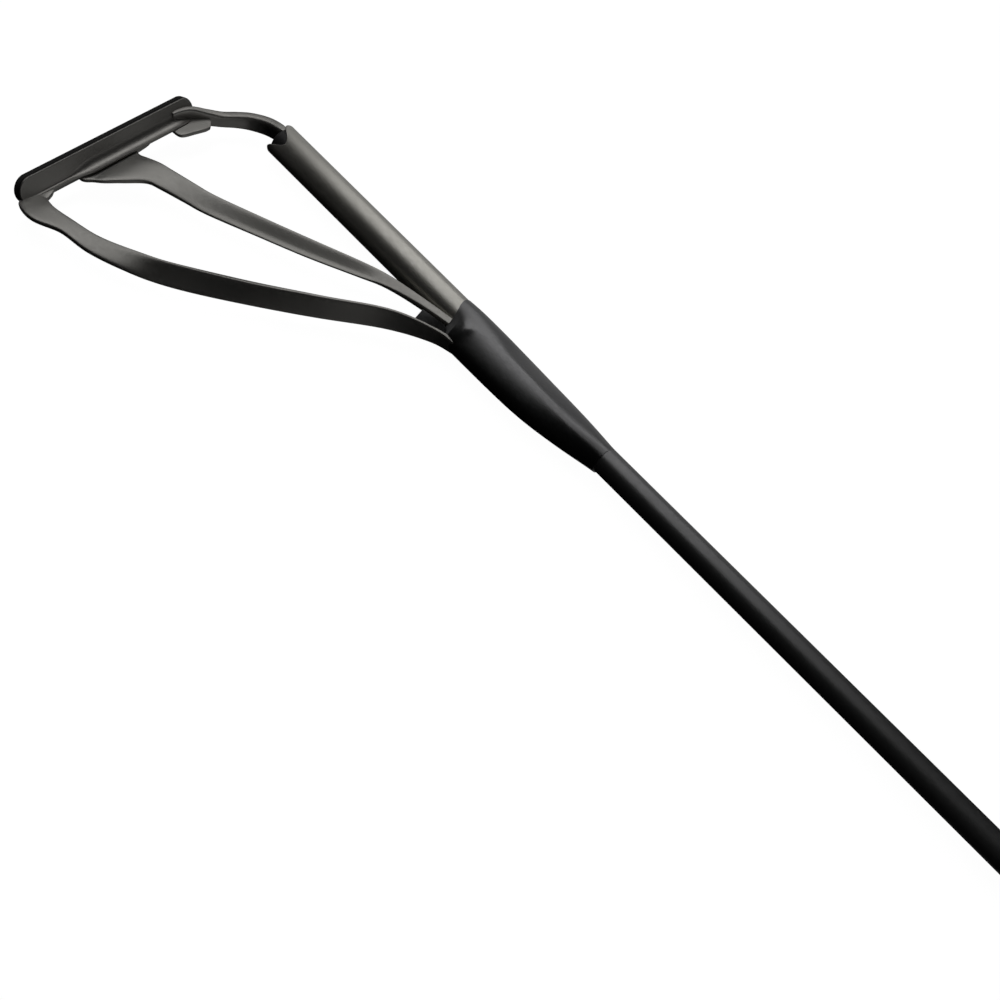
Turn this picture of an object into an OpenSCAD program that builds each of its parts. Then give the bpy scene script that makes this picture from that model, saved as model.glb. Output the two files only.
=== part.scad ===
// Single blade push paddle: an open ribbed head with a rubber shod foot bar, on a
// telescoping round shaft with a cam clamp and a palm grip. Millimetres.
// The shaft runs along X, the head lies in the XY plane, +Z is up, and the origin is on
// the shaft's axis in the middle of its bare stretch.

/* [Foot] */
// Length of the foot bar over its rounded ends
foot_len = 240; // [234:1:244]
// Height of the foot bar's wall across the sole
foot_h = 28; // [26:0.5:31]
// Thickness of the foot bar's wall
foot_t = 5; // [4.5:0.5:6]
// Thickness of the rubber on the sole
tread_t = 5; // [4.5:0.5:6]
// How far the foot bar leans outwards, in degrees
foot_lean = 22; // [15:1:28]
// How far the foot bar turns from square to the shaft, in degrees
foot_turn = 8; // [6:1:10]

/* [Ribs] */
// Width of the outer arm's strap
arm_w = 31; // [26:1:34]
// Thickness of the outer arm's strap
arm_t = 6.6; // [5:0.2:8]
// Width of the middle rib at its narrow end
rib_w = 18; // [15:1:22]
// Thickness of the middle rib
rib_t = 6; // [5:0.2:7]

/* [Spine tube and neck] */
// Outer diameter of the spine tube
spine_od = 37.6; // [37:0.2:39]
// Inner diameter of the spine tube
spine_id = 32; // [31:0.5:33]
// Length of the spine tube beyond the neck
spine_len = 297; // [290:1:300]
// Length of the moulded neck sleeve
neck_len = 229; // [210:1:235]

/* [Lower shaft] */
// Outer diameter of the lower shaft
shaft_od = 29; // [28.5:0.1:29.5]
// Inner diameter of the lower shaft
shaft_id = 26; // [25.9:0.1:26.5]
// Bare stretch of the lower shaft between the neck sleeve and the clamp
bare_len = 560; // [500:10:700]

/* [Clamp] */
// Outer diameter of the clamp collar
collar_od = 38; // [37:0.5:39]
// Length of the clamp collar
collar_len = 34; // [32:1:40]
// Diameter of the lever's pivot pin
pin_d = 6; // [5:0.5:6.5]
// Diameter of the clamp bolt
bolt_d = 5; // [4:0.5:5.5]

/* [Handle] */
// Outer diameter of the handle tube
handle_od = 25; // [24.9:0.1:25.1]
// Inner diameter of the handle tube
handle_id = 22; // [21:0.5:23]
// Length of the handle tube
handle_len = 530; // [500:5:560]
// Width of the palm grip across the shaft
grip_w = 112; // [100:1:125]
// Thickness of the palm grip's soft pad
pad_t = 1.8; // [1.2:0.2:2.4]

/* [Hidden] */
$fn = 64;
eps = 0.01;

// Places along the shaft
sleeve_end = -bare_len / 2;
neck_gap = 4;
neck_x = sleeve_end - neck_len - neck_gap;
collar_x = bare_len / 2;
shaft_top = collar_x + collar_len - 8;
handle_in = 60;
handle_out = handle_in + handle_len;
grip_x = handle_out + 22;

// Foot bar: its middle in the head's frame, and the heights of its parts
foot_mid = [-353.5, -181, 0];
foot_low = -4.5;
foot_centre = foot_low + foot_h / 2;
foot_end_r = foot_h / 2;

// Tread screws: their spacing, heads and shanks
screw_reach = 2;
screw_pitch = 46;
screw_head_r = 4;
screw_shank_r = 1.6;
screw_sunk = 3;
screw_play = 0.2;

// Neck and grip screws: places, heads and shanks
neck_screw_x = [80, 110];
neck_head_r = 4;
neck_shank_r = 2;
grip_head_r = 3.5;
grip_shank_r = 1.5;
grip_screw_x = handle_out - 18;

// Neck sleeve's sections: x from the neck, collar radius, flank's y and radius
neck_rows = [
    [neck_gap, 20.6, -20, 12],
    [26, 21, -24, 13],
    [125, 21, -21, 14],
    [186, 19.2, -13, 13],
    [neck_len + neck_gap - 1, 15.2, -1, 12.5]];
// Web between the outer arm and the rib: x, y, radius and half height of its two ends
web_ends = [[-10, -43.5, 10, 9], [20, -27, 8, 9]];

// Clamp: the lever's pivot, beside and above the collar
ear_y = 26;
ear_h = 9;
ear_x = collar_x + 15;
ear_w = 22;
washer_t = 1.5;
hub_r = 6;
pivot_z = ear_h + washer_t + hub_r + 0.3;
ear_in = 12;
ear_out = 33;
slit = 3;
nut_t = 5;
nut_r = 5.5;
lever_w = 20;
// The lever's knees from its hub to its tip: y, z and radius
lever_knees = [[ear_y, pivot_z, hub_r], [14, 23.5, 2.6], [0, 25.5, 2.4], [-14, 22, 2.4], [-25, 11, 3]];

// Straps: rows of x, y, z, half width, half thickness, roll about the path and, where
// the strap's section isn't square to its path, the heading that the section faces.
// They are in the head's frame, whose origin is the neck
arm_hw = arm_w / 2;
arm_ht = arm_t / 2;
arm_path = [
    [-351, -271, 0, arm_hw - 3, arm_ht, 0],
    [-339, -287, 0, arm_hw - 0.5, arm_ht, 0],
    [-318, -291, 0, arm_hw, arm_ht, 0],
    [-289, -279, 0, arm_hw - 4.5, arm_ht, -2],
    [-256, -269, 0, arm_hw - 3.5, arm_ht, -14],
    [-221, -251, 0, arm_hw - 2.5, arm_ht, -48],
    [-185, -226, 0, arm_hw, arm_ht, -80],
    [-131, -177, 0, arm_hw, arm_ht, -90],
    [-77, -123, 0, arm_hw, arm_ht, -90],
    [-28, -70, 1, arm_hw - 1, arm_ht, -90],
    [12, -41, 1, arm_hw - 3, arm_ht, -90],
    [56, -30, -1, arm_hw - 5, arm_ht, -90]];
rib_hw = rib_w / 2;
rib_ht = rib_t / 2;
rib_path = [
    [-360, -178, 0, rib_hw + 41, rib_ht, 0, 8],
    [-349, -178, 0, rib_hw + 40, rib_ht, 0, 9],
    [-343, -183, 0, rib_hw + 26.5, rib_ht, 0, 14],
    [-335, -181, 0, rib_hw + 21, rib_ht, 0, 16],
    [-325, -171, 0, rib_hw + 16, rib_ht, -2, 19],
    [-312, -157, 0, rib_hw + 8.5, rib_ht, -6, 25],
    [-297, -150, 0, rib_hw + 7, rib_ht, -12, 27],
    [-272, -140, 0, rib_hw + 5, rib_ht, -18, 25],
    [-247, -130, 0, rib_hw + 4, rib_ht, -22, 24],
    [-198, -105, 0, rib_hw + 3, rib_ht, -24, 27],
    [-145, -77, 0, rib_hw + 2, rib_ht, -24, 27],
    [-94, -51, 0, rib_hw + 1, rib_ht, -24, 26],
    [-44, -29, 0, rib_hw, rib_ht, -24, 20],
    [14, -21, 0, rib_hw - 1, rib_ht, -24, 8]];
heel_path = [
    [-371, -88, 9, 5, 12, 0],
    [-369, -70, 8, 5.5, 11.5, 0],
    [-361, -54, 3, 6, 8.5, 0],
    [-353, -38, 0, 6.5, 7, 0],
    [-345, -23, 0, 6.5, 7, 0],
    [-336, -10, 0, 6.5, 7.5, 0],
    [-321, 2, 0, 6.5, 8.5, 0],
    [-303, 7, 0, 6, 9, 0],
    [-284, 8, 0, 4, 8, 0]];
// Shelf in the heel's inner corner: outline and height
heel_shelf = [[-374, -103], [-350, -95], [-347, -60], [-358, -52], [-374, -70]];
shelf_low = 0;
shelf_t = 5;

// Point on a smooth curve through p1 and p2, a share t of the way between them
function curve(p0, p1, p2, p3, t) = 0.5 * (2 * p1 + (p2 - p0) * t
    + (2 * p0 - 5 * p1 + 4 * p2 - p3) * t * t + (3 * p1 - p0 - 3 * p2 + p3) * t * t * t);
// Every row of a path, smoothed with n steps between its rows
function smooth(path, n) = let (last = len(path) - 1) [
    for (i = [0 : last - 1]) for (k = [0 : n - 1])
        curve(path[max(i - 1, 0)], path[i], path[i + 1], path[min(i + 2, last)], k / n),
    path[last]];
function place(row) = [row[0], row[1], row[2]];
function unit(v) = v / norm(v);
// Cosine or sine flattened towards a rounded box
function boxy(c) = sign(c) * pow(abs(c), 0.55);
// Direction that a row's section faces: its own heading, or else along its path
function facing(rows, i) = len(rows[i]) > 6
    ? [cos(rows[i][6]), sin(rows[i][6]), 0]
    : unit(place(rows[min(i + 1, len(rows) - 1)]) - place(rows[max(i - 1, 0)]));
// Ring of points round one row, square to the direction that it faces
function ring(row, along, sides) = let (
    side = unit(cross(along, [0, 0, 1])),
    up = cross(side, along),
    wide = cos(row[5]) * side + sin(row[5]) * up,
    thick = cos(row[5]) * up - sin(row[5]) * side)
    [for (j = [0 : sides - 1]) let (a = 360 * j / sides)
        place(row) + wide * row[3] * boxy(cos(a)) + thick * row[4] * boxy(sin(a))];

// A strap swept along a path of rows
module strap(path, steps = 3, sides = 16) {
    rows = smooth(path, steps);
    last = len(rows) - 1;
    points = [for (i = [0 : last]) each ring(rows[i], facing(rows, i), sides)];
    walls = [for (i = [0 : last - 1]) for (j = [0 : sides - 1])
        let (a = i * sides + j, b = i * sides + (j + 1) % sides)
        each [[a, b, b + sides], [a, b + sides, a + sides]]];
    first_cap = [for (j = [sides - 1 : -1 : 0]) j];
    last_cap = [for (j = [0 : sides - 1]) last * sides + j];
    polyhedron(points, concat(walls, [first_cap, last_cap]));
}

module at_neck() translate([neck_x, 0, 0]) children();
// Cylinder along X from x0 to x1
module rod(x0, x1, r) translate([x0, 0, 0]) rotate([0, 90, 0]) cylinder(h = x1 - x0, r = r);
module tube(x0, x1, r_out, r_in) difference() {
    rod(x0, x1, r_out);
    rod(x0 - 1, x1 + 1, r_in);
}

// The foot's own frame: Y along the bar, X inwards through the wall, Z up the wall
module at_foot() at_neck() translate(foot_mid)
    rotate([0, 0, foot_turn]) rotate([0, -foot_lean, 0]) children();
// Block with the foot's rounded outline, from x0 to x1 through the wall
module foot_block(x0, x1) translate([x0, 0, foot_centre])
    rotate([0, 90, 0]) linear_extrude(x1 - x0) {
        square([foot_h, foot_len - 2 * foot_end_r], center = true);
        for (s = [-1, 1]) translate([0, s * (foot_len / 2 - foot_end_r)])
            circle(r = foot_end_r);
    }
module tread_holes(r, x0, x1) for (i = [-screw_reach : screw_reach])
    translate([0, i * screw_pitch, foot_centre]) rod(x0, x1, r);

module foot_bar() color([0.3, 0.29, 0.27]) at_foot() difference() {
    foot_block(-foot_t, 0);
    tread_holes(screw_shank_r, -foot_t - 1, -1);
}

module foot_tread() color([0.09, 0.09, 0.09]) at_foot() difference() {
    foot_block(-foot_t - tread_t, -foot_t);
    tread_holes(screw_head_r + screw_play, -foot_t - tread_t - 1, -foot_t - screw_sunk);
    tread_holes(screw_shank_r + screw_play, -foot_t - screw_sunk - 1, -foot_t + 1);
}

module tread_screws() color([0.55, 0.55, 0.56]) at_foot() {
    tread_holes(screw_head_r, -foot_t - 2 * screw_sunk, -foot_t - screw_sunk);
    tread_holes(screw_shank_r, -foot_t - screw_sunk - eps, -1.5);
}

module arm_outer() color([0.36, 0.35, 0.32]) difference() {
    at_neck() strap(arm_path);
    foot_clearance();
}

module rib_middle() color([0.36, 0.35, 0.32]) difference() {
    at_neck() strap(rib_path);
    foot_clearance();
    rod(neck_x - spine_len - 1, neck_x + 80, spine_od / 2 + 0.15);
}

module heel_strap() color([0.4, 0.39, 0.36]) difference() {
    at_neck() {
        strap(heel_path);
        translate([0, 0, shelf_low]) linear_extrude(shelf_t) polygon(heel_shelf);
    }
    foot_clearance();
    rod(neck_x - spine_len, neck_x, spine_id / 2 - 1);
}

// The foot bar's own space, and everything behind its outer face
module foot_clearance() at_foot() {
    foot_block(-foot_t - 1, 0);
    translate([-60 - foot_t, -foot_len, -60]) cube([60, 2 * foot_len, 120]);
}

module spine_tube() color([0.42, 0.41, 0.38]) tube(neck_x - spine_len, neck_x + 60,
    spine_od / 2, spine_id / 2);

module tube_end_plug() color([0.05, 0.05, 0.05])
    rod(neck_x - spine_len + 26, neck_x - spine_len + 40, spine_id / 2);

module socket_bushes() color([0.15, 0.15, 0.16]) for (x = [-92, 26])
    tube(neck_x + x, neck_x + x + 30, spine_id / 2, shaft_od / 2);

// One cross section of the neck sleeve: the collar round the tube and the rib flank
module neck_slice(row) at_neck() {
    rod(row[0], row[0] + 1, row[1], $fn = 32);
    translate([0, row[2], -2]) rod(row[0], row[0] + 1, row[3], $fn = 32);
}
module neck_web() at_neck() hull() for (end = web_ends)
    translate([end[0], end[1], 0]) cylinder(h = 2 * end[3], r = end[2], center = true, $fn = 32);

module neck_sleeve() color([0.17, 0.17, 0.17]) difference() {
    union() {
        for (i = [0 : len(neck_rows) - 2]) hull() {
            neck_slice(neck_rows[i]);
            neck_slice(neck_rows[i + 1]);
        }
        neck_web();
    }
    rod(neck_x - 60, neck_x + 60, spine_od / 2);
    rod(neck_x + 59, sleeve_end + 1, shaft_od / 2);
    neck_screw_set(neck_head_r + screw_play, neck_shank_r + 0.1);
}

module neck_screw_set(head_r, shank_r) for (x = neck_screw_x) translate([neck_x + x, 0, 0]) {
    translate([0, 0, -22]) cylinder(h = 4, r = head_r);
    translate([0, 0, -18 - eps]) cylinder(h = 6, r = shank_r);
}

module neck_screws() color([0.2, 0.2, 0.21]) intersection() {
    neck_screw_set(neck_head_r, neck_shank_r);
    translate([neck_x, 0, -20.5]) rotate([0, 90, 0]) translate([-20, -30, 0]) cube([20, 60, 200]);
}

module lower_shaft() color([0.1, 0.1, 0.1]) difference() {
    tube(neck_x - 96, shaft_top, shaft_od / 2, shaft_id / 2);
    neck_screw_set(neck_head_r, neck_shank_r + 0.1);
}

module shaft_foam_plug() color([0.75, 0.75, 0.7])
    rod(neck_x - 90, neck_x - 40, shaft_id / 2);

module slide_bush() color([0.12, 0.12, 0.13])
    tube(shaft_top - 34, shaft_top, shaft_id / 2, handle_od / 2 + 0.06);

module clamp_collar() color([0.07, 0.07, 0.07]) difference() {
    union() {
        rod(collar_x, collar_x + collar_len, collar_od / 2);
        translate([ear_x - ear_w / 2, ear_in, -ear_h]) cube([ear_w, ear_out - ear_in, 2 * ear_h]);
    }
    rod(collar_x - 1, shaft_top, shaft_od / 2);
    rod(shaft_top - 1, collar_x + collar_len + 1, handle_od / 2 + 0.5);
    translate([collar_x - 1, 0, -slit / 2]) cube([collar_len + 2, 60, slit]);
    translate([ear_x, ear_y, -20]) cylinder(h = 40, r = bolt_d / 2 + 0.1);
}

module clamp_bolt() color([0.6, 0.6, 0.62])
    translate([ear_x, ear_y, -ear_h - nut_t])
    cylinder(h = ear_h + nut_t + pivot_z + pin_d / 4, r = bolt_d / 2);

module clamp_nut() color([0.45, 0.45, 0.47]) translate([ear_x, ear_y, -ear_h - nut_t]) difference() {
    cylinder(h = nut_t, r = nut_r);
    translate([0, 0, -1]) cylinder(h = nut_t + 2, r = bolt_d / 2);
}

module cam_washer() color([0.8, 0.8, 0.8]) difference() {
    translate([ear_x - 10, ear_y - 6, ear_h]) cube([20, 12, washer_t]);
    translate([ear_x, ear_y, ear_h - 1]) cylinder(h = washer_t + 2, r = bolt_d / 2 + 0.1);
}

module pivot_pin() color([0.6, 0.6, 0.62])
    translate([0, ear_y, pivot_z]) rod(ear_x - 11, ear_x + 11, pin_d / 2);

// Round bar of the lever, along X, at a knee
module lever_bar(knee) translate([0, knee[0], knee[1]])
    rod(ear_x - lever_w / 2, ear_x + lever_w / 2, knee[2]);

module cam_lever() color([0.08, 0.08, 0.08]) difference() {
    for (i = [0 : len(lever_knees) - 2]) hull() {
        lever_bar(lever_knees[i]);
        lever_bar(lever_knees[i + 1]);
    }
    translate([0, ear_y, pivot_z]) rod(ear_x - lever_w, ear_x + lever_w, pin_d / 2 + 0.06);
    translate([ear_x - 4, ear_y - 4, 0]) cube([8, 20, 60]);
}

module handle_tube() color([0.1, 0.1, 0.1]) difference() {
    tube(handle_in, handle_out, handle_od / 2, handle_id / 2);
    grip_screw_set(grip_head_r, grip_shank_r + 0.1);
}

module slide_tip() color([0.12, 0.12, 0.13]) {
    rod(handle_in - 10, handle_in, shaft_id / 2 - 0.06);
    rod(handle_in - eps, handle_in + 20, handle_id / 2);
}

module handle_end_plug() color([0.12, 0.12, 0.13])
    rod(handle_out - 8, handle_out, handle_id / 2);

// The palm grip's form, swollen by grow
module grip_form(grow = 0) {
    for (s = [-1, 1]) hull() {
        translate([grip_x + 2, 0, 0]) sphere(r = 15 + grow, $fn = 32);
        translate([grip_x - 8, s * (grip_w / 2 - 12), 0]) sphere(r = 12 + grow, $fn = 32);
    }
}

module grip_body() color([0.09, 0.09, 0.09]) difference() {
    union() {
        grip_form();
        hull() {
            rod(handle_out - 28, handle_out - 27, 15.5);
            rod(handle_out - 6, handle_out - 5, 15.5);
            translate([grip_x - 4, 0, 0]) rotate([90, 0, 0]) cylinder(h = 40, r = 13.5, center = true, $fn = 32);
        }
    }
    rod(handle_out - 40, handle_out, handle_od / 2);
    grip_screw_set(grip_head_r + 0.1, grip_shank_r + 0.1);
}

module grip_pad() color([0.16, 0.16, 0.17]) difference() {
    grip_form(pad_t);
    grip_form();
    translate([grip_x - 100, -100, -50]) cube([100, 200, 100]);
}

module grip_screw_set(head_r, shank_r) translate([grip_screw_x, 0, 0]) {
    translate([0, 0, 14]) cylinder(h = 4, r = head_r);
    translate([0, 0, 10]) cylinder(h = 4 + eps, r = shank_r);
}

module grip_screw() color([0.55, 0.55, 0.56]) intersection() {
    grip_screw_set(grip_head_r, grip_shank_r);
    rod(handle_out - 40, handle_out, 15.4);
}

foot_bar();
foot_tread();
tread_screws();
arm_outer();
rib_middle();
heel_strap();
spine_tube();
tube_end_plug();
socket_bushes();
neck_sleeve();
neck_screws();
lower_shaft();
shaft_foam_plug();
slide_bush();
clamp_collar();
clamp_bolt();
clamp_nut();
cam_washer();
pivot_pin();
cam_lever();
handle_tube();
slide_tip();
handle_end_plug();
grip_body();
grip_pad();
grip_screw();
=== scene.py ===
"""Looks of a single blade push paddle: an open ribbed head on a telescoping shaft.

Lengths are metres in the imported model's frame: the shaft runs along X, the head lies in the
XY plane and +Z is up. The sections follow the paddle from its sole to its palm grip.
"""

import bmesh
import bpy
import numpy as np
from mathutils import Matrix, Vector


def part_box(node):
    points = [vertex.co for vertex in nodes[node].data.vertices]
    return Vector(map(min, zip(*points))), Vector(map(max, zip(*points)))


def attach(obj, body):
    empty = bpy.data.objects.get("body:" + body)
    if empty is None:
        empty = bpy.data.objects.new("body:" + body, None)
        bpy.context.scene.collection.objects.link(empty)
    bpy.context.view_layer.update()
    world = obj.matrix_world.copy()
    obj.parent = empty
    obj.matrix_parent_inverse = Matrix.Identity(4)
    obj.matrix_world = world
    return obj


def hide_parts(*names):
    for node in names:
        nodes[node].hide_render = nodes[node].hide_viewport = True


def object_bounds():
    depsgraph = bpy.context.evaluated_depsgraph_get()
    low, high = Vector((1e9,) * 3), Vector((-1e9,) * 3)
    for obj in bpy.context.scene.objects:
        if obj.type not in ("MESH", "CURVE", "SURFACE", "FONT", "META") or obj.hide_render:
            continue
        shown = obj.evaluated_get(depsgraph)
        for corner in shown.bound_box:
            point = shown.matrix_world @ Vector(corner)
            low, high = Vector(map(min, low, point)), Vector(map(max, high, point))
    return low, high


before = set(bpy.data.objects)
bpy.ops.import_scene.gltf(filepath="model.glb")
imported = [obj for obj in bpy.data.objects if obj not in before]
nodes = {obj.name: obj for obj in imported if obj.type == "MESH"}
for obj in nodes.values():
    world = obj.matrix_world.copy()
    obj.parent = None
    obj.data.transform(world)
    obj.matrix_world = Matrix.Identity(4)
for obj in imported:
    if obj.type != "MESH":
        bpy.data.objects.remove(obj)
cad_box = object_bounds()

# ---------------------------------------------------------------- camera
# A long lens above and in front of the shaft's middle, rolled so that the shaft runs down
# to the right.
scene = bpy.context.scene
camera = bpy.data.objects.new("camera", bpy.data.cameras.new("camera"))
scene.collection.objects.link(camera)
camera.data.lens = 72  # mm
camera.data.sensor_width = 36  # mm
camera_right = Vector((0.64772, 0.72820, 0.22399))
camera_up = Vector((-0.66821, 0.40176, 0.62617))
camera_place = Vector((0.40438, -1.19302, 1.43382))
turn = Matrix((camera_right, camera_up, camera_right.cross(camera_up))).transposed()
camera.matrix_world = Matrix.Translation(camera_place) @ turn.to_4x4()
scene.camera = camera

# ---------------------------------------------------------------- studio
# One long softbox high behind the paddle, and weak fills in front, below, behind and past
# both ends. The white floor just under the paddle and the pale air round it are seen, but
# throw no light back on the dark finishes.
scene.view_settings.view_transform = "Standard"
scene.world = bpy.data.worlds.new("pale_air")
scene.world.use_nodes = True
scene.world.node_tree.nodes["Background"].inputs["Color"].default_value = (1, 1, 1, 1)
scene.world.cycles_visibility.diffuse = False
scene.world.cycles_visibility.glossy = False


def softbox(name, away, distance, width, length, radiance, target=(-0.35, -0.05, 0.0)):
    """Area light seen from target in the direction away, its length across the shaft.

    Its power is radiance * pi * width * length.
    """
    data = bpy.data.lights.new(name, "AREA")
    data.shape = "RECTANGLE"
    data.size, data.size_y = width, length
    data.energy = radiance * np.pi * width * length
    away = Vector(away).normalized()
    across = Vector((1, 0, 0)).cross(away).normalized()
    axes = Matrix((across.cross(away), across, away)).transposed().to_4x4()
    lamp = bpy.data.objects.new(name, data)
    lamp.matrix_world = Matrix.Translation(Vector(target) + away * distance) @ axes
    scene.collection.objects.link(lamp)
    return lamp


softbox("key_softbox", (-0.47, 0.31, 0.88), 4.0, 2.0, 6.0, 1.25)
softbox("front_softbox", (0.85, -0.75, 0.45), 3.0, 3.0, 3.0, 0.03)
softbox("low_softbox", (0.75, 0.35, -0.5), 3.0, 5.0, 6.5, 0.2)
softbox("back_softbox", (-0.5, 0.85, -0.2), 3.0, 2.5, 4.0, 0.35)
softbox("end_softbox", (1.0, 0.1, 0.3), 3.0, 2.0, 3.0, 0.35)
softbox("sole_softbox", (-1.0, -0.1, 0.05), 3.0, 2.0, 2.5, 0.3)


def link(material, start, start_socket, end, end_socket):
    """Joins two nodes of a material by their sockets."""
    material.node_tree.links.new(start.outputs[start_socket], end.inputs[end_socket])


mm = 0.001
floor_reach = 12.0
floor_gap = 2 * mm
floor_z = cad_box[0].z - floor_gap
corners = np.array([-floor_reach, floor_reach])
floor_y, floor_x = np.meshgrid(corners, corners, indexing="ij")
floor_mesh = bpy.data.meshes.new("floor")
floor_grid = np.stack([floor_x, floor_y, np.full((2, 2), floor_z)], -1)
floor_mesh.from_pydata(floor_grid.reshape(-1, 3).tolist(), [], [(0, 1, 3, 2)])
floor = bpy.data.objects.new("floor", floor_mesh)
scene.collection.objects.link(floor)
floor.visible_diffuse = False
floor.visible_glossy = False
floor.visible_shadow = False

# The floor's face shines white and takes a faint shadow; from below it is clear.
floor_paint = bpy.data.materials.new("floor_white")
floor_paint.use_nodes = True
paint_nodes = floor_paint.node_tree.nodes
paint = paint_nodes["Principled BSDF"]
paint.inputs["Base Color"].default_value = (0.16, 0.16, 0.16, 1)
paint.inputs["Roughness"].default_value = 1.0
paint.inputs["Specular IOR Level"].default_value = 0.0
paint.inputs["Emission Color"].default_value = (1, 1, 1, 1)
paint.inputs["Emission Strength"].default_value = 0.98
facing = paint_nodes.new("ShaderNodeNewGeometry")
clear = paint_nodes.new("ShaderNodeBsdfTransparent")
sides = paint_nodes.new("ShaderNodeMixShader")
link(floor_paint, facing, "Backfacing", sides, 0)
link(floor_paint, paint, "BSDF", sides, 1)
link(floor_paint, clear, "BSDF", sides, 2)
link(floor_paint, sides, "Shader", paint_nodes["Material Output"], "Surface")
floor.data.materials.append(floor_paint)


# ---------------------------------------------------------------- spine tube
# A 37.6 mm round tube of thin alloy in a warm grey satin coat. It carries the head's
# straight back edge, is open at its far end, and is bonded into the neck sleeve.
bare_metal = (0.5, 0.49, 0.46)
gloss_swing = 0.04
grain_depth = 0.2 * mm
mix_colour_a, mix_colour_b, mix_colour_out = 6, 7, 2


def surface(name, grid, around=False, along=False, wear=None, sharp=40):
    """Mesh of a grid of points: quad (i, j), (i, j+1), (i+1, j+1), (i+1, j).

    around joins the last column to the first and along the last row to the first. Points
    that fall together, as at a pole, are merged. wear is a value per point for the
    material, and edges over sharp degrees are kept crisp.
    """
    rows, columns = grid.shape[:2]
    last_row = rows if along else rows - 1
    last_column = columns if around else columns - 1
    i, j = np.meshgrid(np.arange(last_row), np.arange(last_column), indexing="ij")
    i2, j2 = (i + 1) % rows, (j + 1) % columns
    quads = np.stack([i * columns + j, i * columns + j2,
                      i2 * columns + j2, i2 * columns + j], -1)
    mesh = bpy.data.meshes.new(name)
    mesh.from_pydata(grid.reshape(-1, 3).tolist(), [], quads.reshape(-1, 4).tolist())
    if wear is not None:
        layer = mesh.attributes.new("wear", "FLOAT", "POINT")
        values = np.broadcast_to(wear, (rows, columns)).astype(np.float32)
        layer.data.foreach_set("value", values.ravel())
    work = bmesh.new()
    work.from_mesh(mesh)
    bmesh.ops.remove_doubles(work, verts=work.verts, dist=1e-6)
    bmesh.ops.dissolve_degenerate(work, edges=work.edges, dist=1e-7)
    bmesh.ops.recalc_face_normals(work, faces=work.faces)
    work.to_mesh(mesh)
    work.free()
    mesh.shade_smooth()
    mesh.set_sharp_from_angle(angle=np.radians(sharp))
    piece = bpy.data.objects.new(name, mesh)
    scene.collection.objects.link(piece)
    return piece


def finish(name, colour, metallic, roughness, mottle=0.08, grain=2200, bump=0.05, wear=0.0):
    """Coated or moulded finish on Object coordinates.

    Colour = base * (1 - mottle to 1 + mottle, by a cloudy noise), turned towards bare metal
    by the wear attribute times a patchy noise times wear. Roughness swings a little with
    the patchy noise, and bump is the strength of the fine grain.
    """
    material = bpy.data.materials.new(name)
    material.use_nodes = True
    tree = material.node_tree.nodes
    shader = tree["Principled BSDF"]
    shader.inputs["Metallic"].default_value = metallic
    place = tree.new("ShaderNodeTexCoord")
    noises = {}
    for part, scale, detail in (("grain", grain, 3), ("cloud", 38, 4), ("patch", 260, 5)):
        noises[part] = tree.new("ShaderNodeTexNoise")
        noises[part].inputs["Scale"].default_value = scale
        noises[part].inputs["Detail"].default_value = detail
        link(material, place, "Object", noises[part], "Vector")
    tint = tree.new("ShaderNodeMapRange")
    tint.inputs["To Min"].default_value = 1 - mottle
    tint.inputs["To Max"].default_value = 1 + mottle
    link(material, noises["cloud"], "Fac", tint, "Value")
    shade = tree.new("ShaderNodeVectorMath")
    shade.operation = "SCALE"
    shade.inputs[0].default_value = colour
    link(material, tint, "Result", shade, "Scale")
    attribute = tree.new("ShaderNodeAttribute")
    attribute.attribute_name = "wear"
    scuffs = tree.new("ShaderNodeMapRange")
    scuffs.inputs["From Min"].default_value = 0.45
    scuffs.inputs["From Max"].default_value = 0.75
    scuffs.inputs["To Max"].default_value = wear
    link(material, noises["patch"], "Fac", scuffs, "Value")
    amount = tree.new("ShaderNodeMath")
    amount.operation = "MULTIPLY"
    link(material, attribute, "Fac", amount, 0)
    link(material, scuffs, "Result", amount, 1)
    mix = tree.new("ShaderNodeMix")
    mix.data_type = "RGBA"
    mix.inputs[mix_colour_b].default_value = (*bare_metal, 1)
    link(material, amount, "Value", mix, 0)
    link(material, shade, "Vector", mix, mix_colour_a)
    link(material, mix, mix_colour_out, shader, "Base Color")
    gloss = tree.new("ShaderNodeMapRange")
    gloss.inputs["From Min"].default_value = 0.3
    gloss.inputs["From Max"].default_value = 0.7
    gloss.inputs["To Min"].default_value = roughness - gloss_swing
    gloss.inputs["To Max"].default_value = roughness + gloss_swing
    link(material, noises["patch"], "Fac", gloss, "Value")
    link(material, gloss, "Result", shader, "Roughness")
    relief = tree.new("ShaderNodeBump")
    relief.inputs["Strength"].default_value = bump
    relief.inputs["Distance"].default_value = grain_depth
    link(material, noises["grain"], "Fac", relief, "Height")
    link(material, relief, "Normal", shader, "Normal")
    return material


def dress(piece, material, body="lower", replaces=()):
    """Gives a piece its material, its body and the CAD nodes that it stands for."""
    piece.data.materials.clear()
    piece.data.materials.append(material)
    if piece.name not in nodes:
        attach(piece, body)
        if replaces:
            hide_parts(*replaces)
    return piece


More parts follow.
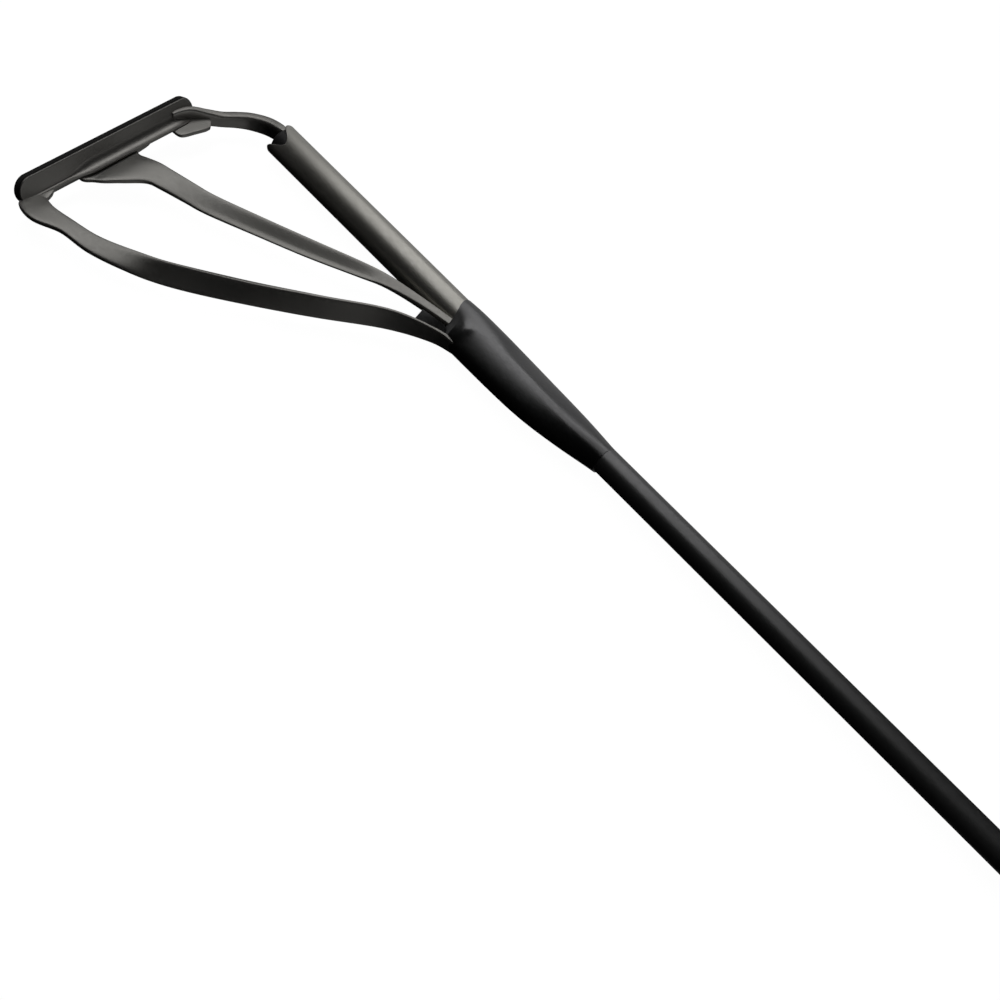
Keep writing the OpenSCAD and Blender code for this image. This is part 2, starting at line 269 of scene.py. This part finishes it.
def round_corners(outline, radius, steps=5):
    """Closed outline with each corner P cut to B(t) = (1-t)^2 A + 2t(1-t) P + t^2 B.

    A and B lie on the two sides, a radius from P.
    """
    outline = np.asarray(outline, float)
    radius = np.broadcast_to(radius, len(outline))[:, None]
    before = np.roll(outline, 1, 0) - outline
    after = np.roll(outline, -1, 0) - outline
    start = outline + radius * before / np.linalg.norm(before, axis=1, keepdims=True)
    end = outline + radius * after / np.linalg.norm(after, axis=1, keepdims=True)
    t = np.linspace(0, 1, steps)[None, :, None]
    curve = ((1 - t) ** 2 * start[:, None] + 2 * t * (1 - t) * outline[:, None]
             + t ** 2 * end[:, None])
    return curve.reshape(-1, 2)


def turned(name, outline, centre=(0, 0), sides=128, sharp=40):
    """Closed outline of (x, r) points turned about the X axis through centre (y, z).

    Each point goes to x, y + r cos(a), z + r sin(a) for every angle a.
    """
    angle = np.linspace(0, 2 * np.pi, sides, endpoint=False)
    x = np.broadcast_to(outline[:, :1], (len(outline), sides))
    y = centre[0] + outline[:, 1:] * np.cos(angle)
    z = centre[1] + outline[:, 1:] * np.sin(angle)
    return surface(name, np.stack([x, y, z], -1), around=True, along=True, sharp=sharp)


def pipe(x0, x1, outer, inner, edge):
    """Outline of a pipe's wall from x0 to x1 with rounded edges."""
    return round_corners([(x0, inner), (x0, outer), (x1, outer), (x1, inner)], edge)


# The neck, from which the head is measured, is where the tube has 60 mm left to run.
tube_in_neck = 60
tube_lo, tube_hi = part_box("spine_tube")
spine_r = (tube_hi.z - tube_lo.z) / 2
spine_wall, spine_edge = 2.8 * mm, 0.9 * mm
neck_x = tube_hi.x - tube_in_neck * mm
notch_depth, notch_spread, notch_turn = 20 * mm, np.radians(58), np.arctan2(0.78, -0.62)
notch_starts, notch_ends = 5 * mm, 60 * mm


def ease(a, b, x):
    """Smooth step of x from 0 at a to 1 at b."""
    t = np.clip((x - a) / (b - a), 0, 1)
    return t * t * (3 - 2 * t)


def notched_tube(name, x0, x1, outer, inner, edge):
    """Tube whose mouth at x0 has a round bite out of its upper side, towards the head.

    The mouth lies at x0 + notch_depth * (1 + cos(pi b / notch_spread)) / 2 where b, the
    angle from the bite's middle, is under notch_spread, and at x0 elsewhere. Points
    further in than notch_ends are not moved.
    """
    outline = pipe(x0, x1, outer, inner, edge)
    angle = np.linspace(0, 2 * np.pi, 256, endpoint=False)
    from_middle = (angle - notch_turn + np.pi) % (2 * np.pi) - np.pi
    bite = notch_depth * (1 + np.cos(np.pi * np.clip(from_middle / notch_spread, -1, 1))) / 2
    x = outline[:, :1] + ease(x0 + notch_ends, x0 + notch_starts, outline[:, :1]) * bite
    y = outline[:, 1:] * np.cos(angle)
    z = outline[:, 1:] * np.sin(angle)
    return surface(name, np.stack([x, y, z], -1), around=True, along=True)


spine_coat = finish("spine_satin", (0.50, 0.488, 0.452), 0.9, 0.40, mottle=0.05)
spine = notched_tube("spine_tube_wall", tube_lo.x, tube_hi.x, spine_r, spine_r - spine_wall,
                     spine_edge)
dress(spine, spine_coat, replaces=["spine_tube"])

# A dished black plug stops the tube's end against water. It is pushed in, a thin film of sealant
# short of the wall. It sits only 3 mm inside the mouth, so its black face is painted shade: it
# stands in for the shade deep inside the tube's open end.
black_moulding = finish("black_moulding", (0.026, 0.026, 0.027), 0.0, 0.44, grain=3000, bump=0.12)
plug_lo, plug_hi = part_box("tube_end_plug")
sealant = 0.05 * mm
plug_r = spine_r - spine_wall - sealant
# Painted shade: the plug's black face is brought up close to the mouth to darken the open end.
plug_x = tube_lo.x + 3 * mm
plug = turned("tube_end_stopper", round_corners(
    [(plug_x + 1.2 * mm, 0), (plug_x + 1.2 * mm, plug_r - 4 * mm), (plug_x, plug_r - 3 * mm),
     (plug_x, plug_r), (plug_hi.x, plug_r), (plug_hi.x, 0)],
    [0, 1 * mm, 1 * mm, 1 * mm, 1 * mm, 0]))
dress(plug, black_moulding, replaces=["tube_end_plug"])


# ---------------------------------------------------------------- foot bar
# The moulded wall that the paddle is pushed off with: a long plate with round ends that
# leans outwards. Its inner face turns in at the bottom, where the rib and the heel join.
def at_head(points):
    """Points in the head's frame, in millimetres from the neck, as places in metres.

    Each is scaled to metres and moved along X by neck_x.
    """
    return np.asarray(points, float) * mm + np.array([neck_x, 0, 0])


# Sizes of the foot in millimetres: length, height, thickness and the height of its lower edge.
foot_len, foot_h, foot_t, foot_low = 240.5, 29.5, 5.0, -4.5
foot_mid = np.array([-353.5, -181.0, 0.0])
foot_turn, foot_lean = np.radians(8), np.radians(22)
foot_axes = np.array([
    [np.cos(foot_turn) * np.cos(foot_lean), np.sin(foot_turn) * np.cos(foot_lean),
     np.sin(foot_lean)],
    [-np.sin(foot_turn), np.cos(foot_turn), 0],
    [-np.cos(foot_turn) * np.sin(foot_lean), -np.sin(foot_turn) * np.sin(foot_lean),
     np.cos(foot_lean)]])


def at_foot(points):
    """Points in the foot's frame, through the wall, along the bar and up it, as places.

    Each is a sum of the three foot axes, from the foot's middle.
    """
    return at_head(points @ foot_axes + foot_mid)


def pad_grid(length, height, thick, edge, sides=240, rings=60):
    """Flat pad with round ends, as rings that shrink to its middle line on either face.

    A ring at reach s is the outline of all points s from the middle line; the edge is a
    quarter turn on each side. Returns (through, along, up) with the pad centred.
    """
    r = height / 2
    edge_rings = 8
    flat = np.linspace(0, 1, rings - edge_rings)
    bend = np.linspace(0, np.pi / 2, edge_rings + 1)[1:]
    reach = np.concatenate([flat * (r - edge), r - edge + edge * np.sin(bend)])
    depth = np.concatenate([np.full(rings - edge_rings, thick / 2),
                            thick / 2 - edge * (1 - np.cos(bend))])
    reach = np.concatenate([reach, reach[::-1]])
    depth = np.concatenate([depth, -depth[::-1]])
    # One trip round takes share from 0 to 4: end, straight side, end, straight side.
    straight = length / 2 - r
    share = np.linspace(0, 4, sides, endpoint=False)
    corner = np.clip(share % 2, 0, 1)
    side = np.floor(share / 2)
    travel = np.clip(share % 2 - 1, 0, 1)
    angle = np.pi * corner + np.pi * side
    start = np.where(side == 0, straight, -straight)
    along = start - 2 * start * travel
    y = along[None, :] + reach[:, None] * np.sin(angle)[None, :]
    z = reach[:, None] * np.cos(angle)[None, :]
    x = np.broadcast_to(depth[:, None], y.shape)
    return np.stack([x, y, z], -1)


def from_line(pad):
    """Distance of each point of a pad from the foot's middle line, along and up."""
    past_end = np.maximum(np.abs(pad[..., 1]) - (foot_len - foot_h) / 2, 0)
    return np.hypot(past_end, pad[..., 2])


wall_edge, fillet_least, fillet_more, fillet_low = 1.1, 2.5, 8.5, 2.6
wall = pad_grid(foot_len, foot_h, foot_t, wall_edge)
wall += (-foot_t / 2, 0, foot_low + foot_h / 2)
along_bar, up_wall, inner = wall[..., 1], wall[..., 2], ease(-3.2, -0.8, wall[..., 0])
# The fillet on the inner face is a quarter round of radius fillet_r. It is small at the toe,
# grows where the middle rib's root begins, and shrinks again at the heel's round end.
fillet_r = fillet_least + fillet_more * ease(-62, -28, along_bar) * ease(119, 100, along_bar)
rise = np.clip((up_wall - fillet_low) / fillet_r, 0, 1)
swell = fillet_r * (1 - np.sqrt(1 - (1 - rise) ** 2)) * ease(foot_low, 1.5, up_wall)
wall[..., 0] += inner * swell
head_coat = finish("head_satin", (0.31, 0.303, 0.286), 0.85, 0.42, mottle=0.07, wear=0.35)
dress(surface("foot_wall", at_foot(wall), around=True), head_coat,
      replaces=["foot_bar"])

# The sole is a black rubber pad, moulded with slanting grip bars and screwed to the wall
# through sunk wells. A thin lip at its rim laps over the wall's edge.
tread_t, tread_over, tread_edge, lip_t = 5.0, 1.6, 1.4, 1.4
bar_pitch, bar_slant, bar_relief = 7.5, 0.6, 1.3
screw_pitch, end_screw, well_r, well_depth = 46.0, 2, 4.4, 2.0
sole = pad_grid(foot_len + tread_over, foot_h + tread_over, tread_t, tread_edge, sides=760)
bars = np.sin((sole[..., 1] + bar_slant * np.abs(sole[..., 2])) * 2 * np.pi / bar_pitch)
rim = ease(foot_h / 2 - 1.2, foot_h / 2 - 3.2, from_line(sole))
screw_y = screw_pitch * np.round(np.clip(sole[..., 1] / screw_pitch, -end_screw, end_screw))
from_screw = np.hypot(sole[..., 1] - screw_y, sole[..., 2])
boss = ease(well_r + 1.6, well_r + 3.6, from_screw)
well = ease(well_r + 0.2, well_r - 0.2, from_screw)
outer = ease(0.5, -0.5, sole[..., 0])
sole[..., 0] += outer * rim * boss * bar_relief * ease(0.1, 0.55, bars)
sole[..., 0] += outer * well * well_depth
lip = ease(foot_h / 2 - 0.4, foot_h / 2 + 0.3, from_line(sole))
sole[..., 0] += ease(0.4, 1.2, sole[..., 0]) * lip * (foot_t - lip_t)
sole += (-foot_t - tread_t / 2, 0, foot_low + foot_h / 2)
tread_rubber = finish("tread_rubber", (0.009, 0.009, 0.009), 0.0, 0.85, grain=1500, bump=0.3)
dress(surface("sole_tread", at_foot(sole), around=True), tread_rubber,
      replaces=["foot_tread"])


# ---------------------------------------------------------------- head ribs
# Three straps of the same moulding as the foot wall. Each has a rounded flat section,
# flares where it leaves the wall, and runs into the neck sleeve or the spine tube.
def smoothed(rows, steps):
    """Catmull-Rom curve through the rows, with steps points from one row to the next."""
    rows = np.asarray(rows, float)
    padded = np.vstack([rows[:1], rows, rows[-1:]])
    p0, p1, p2, p3 = (padded[k:len(rows) - 1 + k, None] for k in range(4))
    t = np.linspace(0, 1, steps, endpoint=False)[None, :, None]
    curve = 0.5 * (2 * p1 + (p2 - p0) * t + (2 * p0 - 5 * p1 + 4 * p2 - p3) * t ** 2
                   + (3 * p1 - p0 - 3 * p2 + p3) * t ** 3)
    return np.vstack([curve.reshape(-1, rows.shape[1]), rows[-1:]])


def unit(vectors):
    """Vectors divided by their lengths."""
    return vectors / np.linalg.norm(vectors, axis=-1, keepdims=True)


def at_wall(points):
    """Points in the head's frame as places, those past the wall's middle drawn back to it."""
    local = (np.asarray(points, float) - foot_mid) @ foot_axes.T
    local[..., 0] = np.maximum(local[..., 0], -foot_t / 2)
    return at_head(local @ foot_axes + foot_mid)


def strap(name, rows, steps=10, sides=96, square=0.42, lips=None, place=None):
    """Strap along rows of x, y, z, half width, half thickness, roll and, if given, heading.

    Ring: centre + wide * hw * c(a) + thick * (ht * s(a) + lip * q^2), where c and s are the
    cosine and sine raised to the power square, which rounds a box, and q runs from 0 to 1
    over the outer third of the width. The ends close on their centres. wear, for the
    finish, is 1 on the four rounded corners of the ring and 0 on its flats.
    """
    lip = np.zeros(1) if lips is None else smoothed(np.asarray(lips, float)[:, None], steps)[:, 0]
    rows = smoothed(rows, steps)
    tangent = unit(np.gradient(rows[:, :3], axis=0))
    if rows.shape[1] > 6:
        heading = np.radians(rows[:, 6])
        side = np.stack([np.sin(heading), -np.cos(heading), np.zeros(len(rows))], -1)
    else:
        side = unit(np.cross(tangent, [0, 0, 1]))
    up = unit(np.cross(side, tangent))
    roll = np.radians(rows[:, 5:6])
    wide = np.cos(roll) * side + np.sin(roll) * up
    thick = np.cos(roll) * up - np.sin(roll) * side
    angle = np.linspace(0, 2 * np.pi, sides, endpoint=False)
    cosine = np.sign(np.cos(angle)) * np.abs(np.cos(angle)) ** square
    sine = np.sign(np.sin(angle)) * np.abs(np.sin(angle)) ** square
    outer_third = np.clip((cosine - 0.3) / 0.7, 0, 1)
    grid = (rows[:, None, :3] + wide[:, None] * (rows[:, 3:4] * cosine)[..., None]
            + thick[:, None] * (rows[:, 4:5] * sine)[..., None]
            + thick[:, None] * (lip[:, None] * outer_third ** 2)[..., None])
    centres = rows[[0, -1], None, :3] + np.zeros((1, sides, 1))
    grid = np.concatenate([centres[:1], grid, centres[1:]])
    edge = np.abs(cosine * sine) ** 3
    return surface(name, (place or at_wall)(grid), around=True, wear=edge / edge.max(), sharp=60)


# Rows of the three straps, in millimetres and degrees, from the foot towards the neck: x, y,
# z, half width, half thickness, roll and, for the middle rib, heading. The arm is flat at the
# foot and stands on edge at the neck.
arm_ht, rib_ht = 3.3, 3.0
arm_rows = [
    (-352, -266, -1, 13, arm_ht, 0),
    (-348, -273, -0.8, 14.5, arm_ht, 0),
    (-339, -287, 0.4, 15, arm_ht, 0),
    (-318, -291.5, 2.2, 15, arm_ht, 0),
    (-289, -280, 1.6, 10.2, arm_ht, -2),
    (-256, -270, 0, 10.8, arm_ht, -13),
    (-221, -252, 0, 11.8, arm_ht, -25),
    (-185, -227, -0.5, 12.4, arm_ht, -52),
    (-131, -177.5, -0.5, 13.6, arm_ht, -78),
    (-77, -123, 0, 15.3, 2.6, -90),
    (-28, -70, 0, 14, 2.3, -90),
    (12, -41.5, -1.5, 10, 2.3, -90),
    (40, -32, -2, 7, arm_ht, -84),
    (70, -26, -3, 4, 2.5, -84)]
dress(strap("outer_arm", arm_rows), head_coat, replaces=["arm_outer"])

rib_rows = [
    (-360, -178, -1.6, 49, rib_ht, 0, 8),
    (-349, -178, -1.4, 49, rib_ht, 0, 9),
    (-343, -183, -0.6, 36, rib_ht, 0, 14),
    (-335, -181, 0.9, 30, rib_ht, 0, 16),
    (-325, -171, 2.4, 23.5, rib_ht, -2, 19),
    (-312, -157, 3, 15.8, rib_ht, -6, 25),
    (-297, -150, 2.4, 13.8, rib_ht, -10, 27),
    (-272, -140, 1, 12.2, rib_ht, -20, 25),
    (-247, -130, 0, 11.6, rib_ht, -27, 24),
    (-198, -105, 0, 10.8, rib_ht, -32, 27),
    (-145, -77, 0, 10.2, rib_ht, -32, 27),
    (-94, -49.5, 1.2, 8.6, rib_ht, -30, 26),
    (-66, -37.5, 3, 6.9, 3.4, -20, 22),
    (-28, -28.5, 5, 5.2, 4.4, -12, 15),
    (14, -21, 6, 4.6, 5, -8, 8),
    (34, -18, 5, 4, 5, -8, 4)]
# The middle rib's raised edge, row by row: it starts past the flare and ends at the neck.
rib_lips = [0, 0, 0, 0, 0, 0, 0, 0.5, 1.4, 2.4, 2.6, 2.2, 0.8, 0, 0, 0]
dress(strap("middle_rib", rib_rows, lips=rib_lips), head_coat,
      replaces=["rib_middle"])


def plate(name, rows, half, steps=8, across=24, square=0.35):
    """Plate between two edge curves, rows of x, y, z of the one and then of the other.

    Ring: middle + (edge 2 - edge 1)/2 * c(a) + Z * half * s(a), rounded as a strap is.
    """
    rows = smoothed(rows, steps)
    middle, reach = (rows[:, 3:] + rows[:, :3]) / 2, (rows[:, 3:] - rows[:, :3]) / 2
    angle = np.linspace(0, 2 * np.pi, across * 2, endpoint=False)
    cosine = np.sign(np.cos(angle)) * np.abs(np.cos(angle)) ** square
    sine = np.sign(np.sin(angle)) * np.abs(np.sin(angle)) ** square
    rise = np.stack([0 * sine, 0 * sine, half * sine], -1)
    grid = middle[:, None] + reach[:, None] * cosine[:, None] + rise
    ends = middle[[0, -1], None] + np.zeros((1, len(angle), 1))
    grid = np.concatenate([ends[:1], grid, ends[1:]])
    return surface(name, at_wall(grid), around=True, sharp=60, wear=0)


def joined(name, *pieces):
    """One mesh object made of several surfaces of the same piece."""
    work = bmesh.new()
    for piece in pieces:
        work.from_mesh(piece.data)
        bpy.data.objects.remove(piece)
    mesh = bpy.data.meshes.new(name)
    work.to_mesh(mesh)
    work.free()
    piece = bpy.data.objects.new(name, mesh)
    scene.collection.objects.link(piece)
    return piece


# The heel strap bows over to the spine tube. A small shelf fills the corner at its foot.
heel_rows = [
    (-372, -92, 7, 4, 8, 0),
    (-369, -73, 6.5, 5, 10, 0),
    (-361, -54, 2, 6, 9, 0),
    (-353, -38, -1, 6.5, 8, 0),
    (-345, -23, -1.5, 6.5, 8.6, 0),
    (-336, -10, -2, 6.5, 9.6, 0),
    (-321, 2, -2, 6.5, 10.2, 0),
    (-303, 7, -1, 6, 10, 0),
    (-284, 8, 0, 4, 8, 0)]
shelf_rows = [
    (-374, -105, 2.5, -374, -70, 2.5),
    (-361, -101, 2.5, -366, -58, 2.5),
    (-347, -97, 2.5, -358, -52, 2.5),
    (-344, -80, 2.5, -350, -55, 2.5),
    (-343, -68, 2.5, -344, -60, 2.5)]
shelf_half = 2.5
heel = joined("heel_strap_moulding", strap("heel", heel_rows, square=0.6),
              plate("shelf", shelf_rows, shelf_half))
dress(heel, head_coat, replaces=["heel_strap"])

# ---------------------------------------------------------------- neck sleeve
# The dark moulded sleeve over the joint of spine tube and shaft. One side swells into a
# flank that takes in the rib and the arm, and it thins to the shaft at its far end.

# The outline is drawn round three circles. Their rows, in millimetres from the neck, are x,
# the centre's y and z, and the radius.
sleeve_start, sleeve_lip, sleeve_end = 4, 26, 232
ridge_rows = np.array([
    (4, -16, 4, 11), (26, -17, 11.5, 8.4), (45, -11, 14.6, 7), (72, -10, 14.8, 6.6),
    (125, -10, 14, 6.6), (186, -10, 10.6, 6.6), (232, -3, 5, 9)], float)
flank_rows = np.array([
    (4, -20, -2, 10), (12, -23, -2, 12.6), (26, -24, -2, 13), (125, -21, -2, 14),
    (186, -13, -2, 13), (232, -1, -2, 12.5)], float)
collar_rows = np.array([
    (4, 0, 0, 19.3), (26, 0, 0, 20.4), (60, 1, -1, 20.2), (90, 3, -5, 20.6), (125, 3, -7, 21),
    (186, 2, -5, 18.8), (232, 0, -1, 15)], float)
sleeve_x = np.concatenate([
    sleeve_start + (sleeve_lip - sleeve_start) * np.linspace(0, 1, 24) ** 2,
    np.linspace(sleeve_lip, sleeve_end, 90)[1:]])


def follow(x, rows, column):
    """Column of the rows at x, read off the smoothed curve through them."""
    curve = smoothed(rows, 12)
    return np.interp(x, curve[:, 0], curve[:, column])


def sleeve_section(x, angle, soft=1.2):
    """Outline round the collar, the flank and the ridge, three circles with soft joins.

    Its support h(a) is the soft maximum of circle centre . n(a) + radius, and its points
    are h n + h' t, where n is the direction at a and t is square to it.
    """
    normal = np.stack([np.cos(angle), np.sin(angle)], -1)
    total = 0
    for rows in (collar_rows, flank_rows, ridge_rows):
        reach = (follow(x, rows, 1)[:, None] * normal[:, 0]
                 + follow(x, rows, 2)[:, None] * normal[:, 1] + follow(x, rows, 3)[:, None])
        total = total + np.exp(reach / soft)
    support = soft * np.log(total)
    step = angle[1] - angle[0]
    slope = (np.roll(support, -1, 1) - np.roll(support, 1, 1)) / (2 * step)
    y = support * normal[:, 0] - slope * normal[:, 1]
    z = support * normal[:, 1] + slope * normal[:, 0]
    return y, z


sleeve_angle = np.linspace(0, 2 * np.pi, 240, endpoint=False)
sleeve_y, sleeve_z = sleeve_section(sleeve_x, sleeve_angle)
# The mouth is cut on a slant, and starts 12 mm further along on the head's side.
mouth_slant, slant_end = 12, 60
sweep = (mouth_slant * ease(8, -26, sleeve_y[0])[None, :]
         * ease(slant_end, sleeve_start, sleeve_x)[:, None])
outer_skin = np.stack([sleeve_x[:, None] + sweep, sleeve_y, sleeve_z], -1)
# The bore is stepped: the spine tube stops 60 mm in, and the shaft goes on.
tube_bore, shaft_bore = 18.85, 14.55
bore_r = np.where(sleeve_x < tube_in_neck, tube_bore, shaft_bore)[::-1, None]
bore = np.stack([sleeve_x[::-1, None] + sweep[::-1], bore_r * np.cos(sleeve_angle),
                 bore_r * np.sin(sleeve_angle)], -1)
neck_coat = finish("neck_satin", (0.145, 0.145, 0.147), 0.95, 0.33, mottle=0.05)
sleeve = surface("neck_sleeve_moulding", at_head(np.concatenate([outer_skin, bore])),
                 around=True, along=True, sharp=50)
# A web fills the fork between the middle rib and the arm.
web_half = 3.5
web_rows = [
    (-15, -44, -7, -17, -29, 3),
    (-8, -43, -8, -8, -27, 3),
    (6, -38, -8, 6, -25, 3),
    (26, -34, -8, 26, -22, 3),
    (44, -30, -8, 44, -18, 3)]
sleeve = joined("neck_sleeve_moulding", sleeve, plate("web", web_rows, web_half))
dress(sleeve, neck_coat, replaces=["neck_sleeve"])

# ---------------------------------------------------------------- lower shaft
# A 29 mm round alloy tube, black anodised to a satin. Foam in its sunken end keeps water
# out, and a thin bush at its top guides the handle tube.
shaft_lo, shaft_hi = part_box("lower_shaft")
shaft_outer, shaft_inner, cut_edge = 14.5 * mm, 13 * mm, 0.4 * mm
shaft_coat = finish("shaft_satin", (0.165, 0.165, 0.167), 0.85, 0.40, mottle=0.05)
shaft = turned("lower_shaft_tube",
               pipe(shaft_lo.x, shaft_hi.x, shaft_outer, shaft_inner, cut_edge))
dress(shaft, shaft_coat, replaces=["lower_shaft"])
foam = finish("closed_cell_foam", (0.62, 0.62, 0.58), 0.0, 0.9, mottle=0.15, grain=900, bump=0.6)
dress(nodes["shaft_foam_plug"], foam)
for name in ("socket_bushes", "slide_bush", "slide_tip", "handle_end_plug"):
    dress(nodes[name], black_moulding)

# ---------------------------------------------------------------- clamp
# A split collar moulded in black plastic, slipped over the shaft's top end. A stainless bolt
# draws its ears together, with a nut at one end and the cam lever's pin at the other. The
# sole's and the grip's screws are the same steel, and the neck's are blackened.
dress(nodes["clamp_collar"], black_moulding)
steel = finish("stainless_steel", (0.52, 0.52, 0.53), 1.0, 0.28, mottle=0.04, grain=900, bump=0.05)
for name in ("clamp_bolt", "clamp_nut", "pivot_pin", "tread_screws", "grip_screw"):
    dress(nodes[name], steel)
dress(nodes["neck_screws"], finish("blackened_steel", (0.03, 0.03, 0.032), 0.9, 0.42))
dress(nodes["cam_washer"], finish("bearing_plastic", (0.6, 0.6, 0.57), 0.0, 0.45))


def in_metres(points):
    """Points in the model's frame, from millimetres to metres."""
    return np.asarray(points, float) * mm


# The cam lever is moulded in one: two cheeks on the pivot pin and a finger plate that lies
# round the collar when it is shut. Rows as a strap's, from the pin round the collar.
lever_rows = [
    (295, 22.4, 19.2, 9.4, 3.0, 0),
    (295, 18, 21.8, 9.8, 2.8, 0),
    (295, 10, 24.4, 10, 2.5, 0),
    (295, 0, 25.5, 10, 2.3, 0),
    (295, -10, 23.8, 10, 2.3, 0),
    (295, -17, 19.8, 10, 2.3, 0),
    (295, -22.5, 14.4, 10, 2.6, 0),
    (295, -25.6, 9.2, 9.6, 3.0, 0),
    (295, -26, 7.8, 8.6, 2.2, 0)]
pin_axis, pin_hole, cheek_r, cheek_edge = (26 * mm, 16.8 * mm), 3.05 * mm, 6 * mm, 0.8 * mm
cheeks = [turned("cheek", pipe(x0 * mm, x1 * mm, cheek_r, pin_hole, cheek_edge), centre=pin_axis)
          for x0, x1 in ((285, 291), (299, 305))]
finger_plate = strap("finger_plate", lever_rows, place=in_metres, square=0.3)
lever = joined("lever_moulding", finger_plate, *cheeks)
dress(lever, black_moulding, body="lever", replaces=["cam_lever"])

# ---------------------------------------------------------------- handle tube
# The upper tube slides in the shaft and sets the paddle's length. It is the same black satin
# alloy, 25 mm across, cut to length with its edges broken.
handle_lo, handle_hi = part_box("handle_tube")
handle_outer, handle_inner = 12.5 * mm, 11 * mm
handle = turned("handle_tube_wall",
                pipe(handle_lo.x, handle_hi.x, handle_outer, handle_inner, cut_edge))
dress(handle, shaft_coat, body="handle", replaces=["handle_tube"])

# ---------------------------------------------------------------- palm grip
# A T shaped grip moulded in black plastic, pushed over the tube and held by one screw. Its
# crossbar droops at both ends and has a ribbed rubber pad moulded over the crown.

# Sizes of the crossbar in millimetres: its crown's x and radius, how far its ends droop and
# thin, its length each way, and the rounded end past that.
crown_x, crown_r, droop, taper, bar_reach, bar_end = 614, 15, 10, 3, 44.0, 12.0


def crossbar(y):
    """Centre x and radius of the crossbar at y, where s is |y| / bar_reach, at most 1.

    The centre is crown_x - droop s^1.5 and the radius crown_r - taper s^2. Past bar_reach
    the centre drops 2 mm more, and the radius closes to 0 on a quarter ellipse.
    """
    share = np.minimum(np.abs(y) / bar_reach, 1)
    past = np.clip((np.abs(y) - bar_reach) / bar_end, 0, 1)
    centre = crown_x - droop * share ** 1.5 - 2 * past
    return centre, (crown_r - taper * share ** 2) * np.sqrt(1 - past ** 2)


bar_y = (bar_reach + bar_end) * np.sin(np.linspace(-np.pi / 2, np.pi / 2, 121))
turn_angle = np.linspace(0, 2 * np.pi, 96, endpoint=False)
bar_x, bar_r = crossbar(bar_y)
bar_grid = np.stack([bar_x[:, None] + bar_r[:, None] * np.cos(turn_angle),
                     bar_y[:, None] + 0 * turn_angle, bar_r[:, None] * np.sin(turn_angle)], -1)

# The stem is a socket round the tube that spreads sideways into the crossbar. Its first four
# rings close its mouth and round the edge: shut is their share of the full width.
stem_start, spread_start, stem_r, stem_spread, stem_flat = 560, 580, 15.5, 13, 3.5
stem_x = np.concatenate([stem_start + np.array([0, 0, 0.4, 1.2]),
                         np.linspace(stem_start + 2, crown_x, 40)])
stem_w = stem_r + stem_spread * ease(spread_start, crown_x, stem_x) ** 1.4
stem_h = stem_r - stem_flat * ease(spread_start, 610, stem_x)
shut = np.array([0, 0.955, 0.985, 1.0] + [1.0] * 40)
stem_grid = np.stack([stem_x[:, None] + 0 * turn_angle,
                      (stem_w * shut)[:, None] * np.cos(turn_angle),
                      (stem_h * shut)[:, None] * np.sin(turn_angle)], -1)
stem_end = np.broadcast_to([[[float(crown_x), 0, 0]]], (1, len(turn_angle), 3))
stem_grid = np.concatenate([stem_grid, stem_end])
grip = joined("palm_grip", surface("crossbar", in_metres(bar_grid), around=True),
              surface("stem", in_metres(stem_grid), around=True))
dress(grip, black_moulding, body="handle", replaces=["grip_body"])

# The rubber pad wraps the crown 82 degrees each way, fades into the bar at its rim, and has
# fine ribs 3 mm apart.
pad_reach, pad_rise, pad_sunk, pad_inside, rib_relief, rib_pitch = 49.0, 2.1, 0.7, 1.5, 0.22, 3.0
pad_y = pad_reach * np.sin(np.linspace(-np.pi / 2, np.pi / 2, 260))
pad_x, pad_r = crossbar(pad_y)
spread = np.radians(np.linspace(-82, 82, 70))
falloff = (np.clip(1 - (pad_y / pad_reach) ** 8, 0, 1)[:, None]
           * np.clip(1 - (spread / spread[-1])[None, :] ** 8, 0, 1))
ribbing = (rib_relief * np.cos(2 * np.pi * pad_y / rib_pitch)[:, None] * (falloff > 0.6)
           * np.cos(spread)[None, :])
outside_r = pad_r[:, None] - pad_sunk + pad_rise * falloff ** 0.5 + ribbing
inside_r = np.broadcast_to(pad_r[:, None] - pad_inside, outside_r.shape)
ring_r = np.concatenate([outside_r, inside_r[:, ::-1]], 1)
ring_turn = np.concatenate([spread, spread[::-1]])
palm_grid = np.stack([pad_x[:, None] + ring_r * np.cos(ring_turn),
                      pad_y[:, None] + 0 * ring_turn, ring_r * np.sin(ring_turn)], -1)
caps = palm_grid[[0, -1]].mean(1, keepdims=True) + np.zeros((1, len(ring_turn), 1))
palm_grid = np.concatenate([caps[:1], palm_grid, caps[1:]])
pad = surface("palm_pad", in_metres(palm_grid), around=True)
dress(pad, tread_rubber, body="handle", replaces=["grip_pad"])
